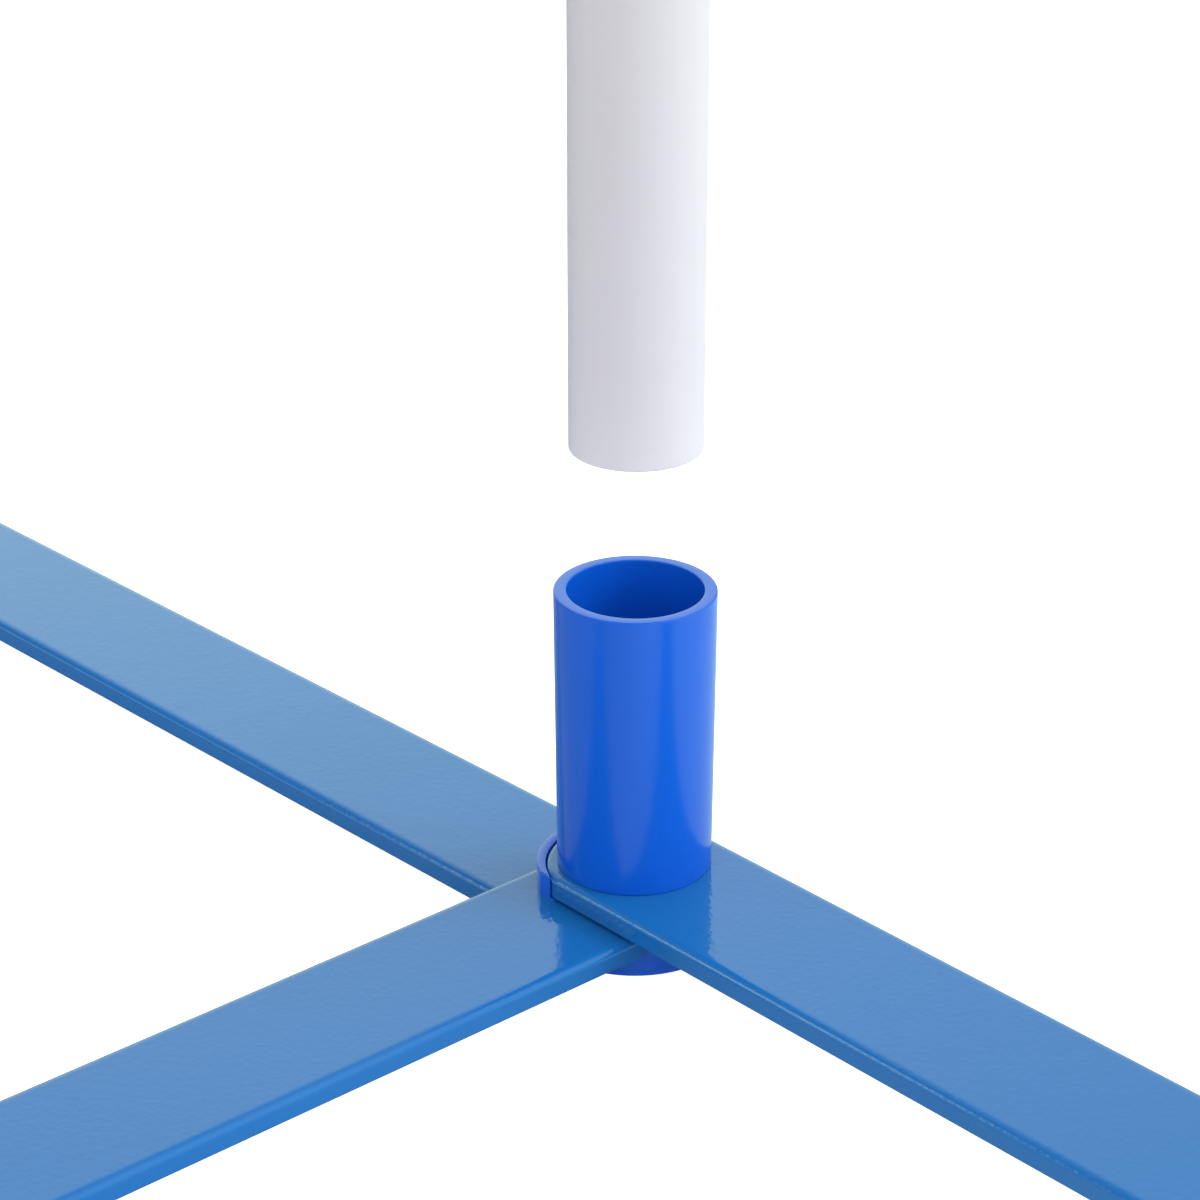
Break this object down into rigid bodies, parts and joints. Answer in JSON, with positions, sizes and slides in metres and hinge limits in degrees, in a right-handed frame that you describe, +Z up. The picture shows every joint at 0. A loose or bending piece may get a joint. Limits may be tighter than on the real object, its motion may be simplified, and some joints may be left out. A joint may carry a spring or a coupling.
{
  "type": "weave pole set",
  "caption": "Row of white upright poles in blue sockets on hinged flat steel link bars, with a turning side bar and foot at each socket, for dog slalom training.",
  "frame": {"origin": "on the floor, on the centre socket's axis, at the centre of its base pad's underside", "axes": "+X along the right-hand link bar, the row's length; +Y away from the centre side bar; +Z up, along the poles"},
  "size_m": [1.2469, 0.444, 1.1242],
  "materials": {
    "blue_paint": "gloss azure powder coat",
    "socket_plastic": "satin royal blue moulding",
    "rim_plastic": "satin blue moulding",
    "white_pvc": "satin white pipe",
    "cap_plastic": "white moulding",
    "zinc_steel": "bright zinc plate",
    "black_rubber": "matt black"
  },
  "bodies": {
    "center_socket": {"socket_center": "socket_plastic", "pivot_bolt_center": "zinc_steel", "pivot_washer_center": "zinc_steel", "pivot_nut_center": "zinc_steel", "base_pad_center": "black_rubber"},
    "left_link": {"link_bar_left": "blue_paint", "link_rim_inner_left": "rim_plastic", "link_rim_outer_left": "rim_plastic", "spacer_left": "rim_plastic", "socket_left": "socket_plastic", "pivot_bolt_left": "zinc_steel", "pivot_washer_left": "zinc_steel", "pivot_nut_left": "zinc_steel", "base_pad_left": "black_rubber"},
    "right_link": {"link_bar_right": "blue_paint", "link_rim_inner_right": "rim_plastic", "link_rim_outer_right": "rim_plastic", "spacer_right": "rim_plastic", "socket_right": "socket_plastic", "pivot_bolt_right": "zinc_steel", "pivot_washer_right": "zinc_steel", "pivot_nut_right": "zinc_steel", "base_pad_right": "black_rubber"},
    "left_side_bar": {"side_bar_left": "blue_paint", "side_rim_left": "rim_plastic", "foot_left": "rim_plastic", "foot_screw_left": "zinc_steel"},
    "left_pole": {"pole_left": "white_pvc", "pole_cap_left": "cap_plastic"},
    "center_side_bar": {"side_bar_center": "blue_paint", "side_rim_center": "rim_plastic", "foot_center": "rim_plastic", "foot_screw_center": "zinc_steel"},
    "center_pole": {"pole_center": "white_pvc", "pole_cap_center": "cap_plastic"},
    "right_side_bar": {"side_bar_right": "blue_paint", "side_rim_right": "rim_plastic", "foot_right": "rim_plastic", "foot_screw_right": "zinc_steel"},
    "right_pole": {"pole_right": "white_pvc", "pole_cap_right": "cap_plastic"}
  },
  "joints": [
    {"name": "left_link_turn", "type": "hinge", "parent": "center_socket", "child": "left_link", "pos_m": [0, 0, 0.006], "axis": [0, 0, 1], "range_deg": [-60, 30]},
    {"name": "right_link_turn", "type": "hinge", "parent": "center_socket", "child": "right_link", "pos_m": [0, 0, 0.018], "axis": [0, 0, 1], "range_deg": [-60, 60]},
    {"name": "center_side_bar_turn", "type": "hinge", "parent": "center_socket", "child": "center_side_bar", "pos_m": [0, 0, 0.012], "axis": [0, 0, 1], "range_deg": [-45, 90]},
    {"name": "left_side_bar_turn", "type": "hinge", "parent": "left_link", "child": "left_side_bar", "pos_m": [-0.59982, -0.01466, 0.012], "axis": [0, 0, 1], "range_deg": [-75, 90]},
    {"name": "right_side_bar_turn", "type": "hinge", "parent": "right_link", "child": "right_side_bar", "pos_m": [0.6, 0, 0.012], "axis": [0, 0, 1], "range_deg": [-75, 90]},
    {"name": "left_pole_lift", "type": "slide", "parent": "left_link", "child": "left_pole", "axis": [0, 0, 1], "range_m": [0, 0.13]},
    {"name": "center_pole_lift", "type": "slide", "parent": "center_socket", "child": "center_pole", "axis": [0, 0, 1], "range_m": [-0.0965, 0.0335]},
    {"name": "right_pole_lift", "type": "slide", "parent": "right_link", "child": "right_pole", "axis": [0, 0, 1], "range_m": [0, 0.13]}
  ]
}
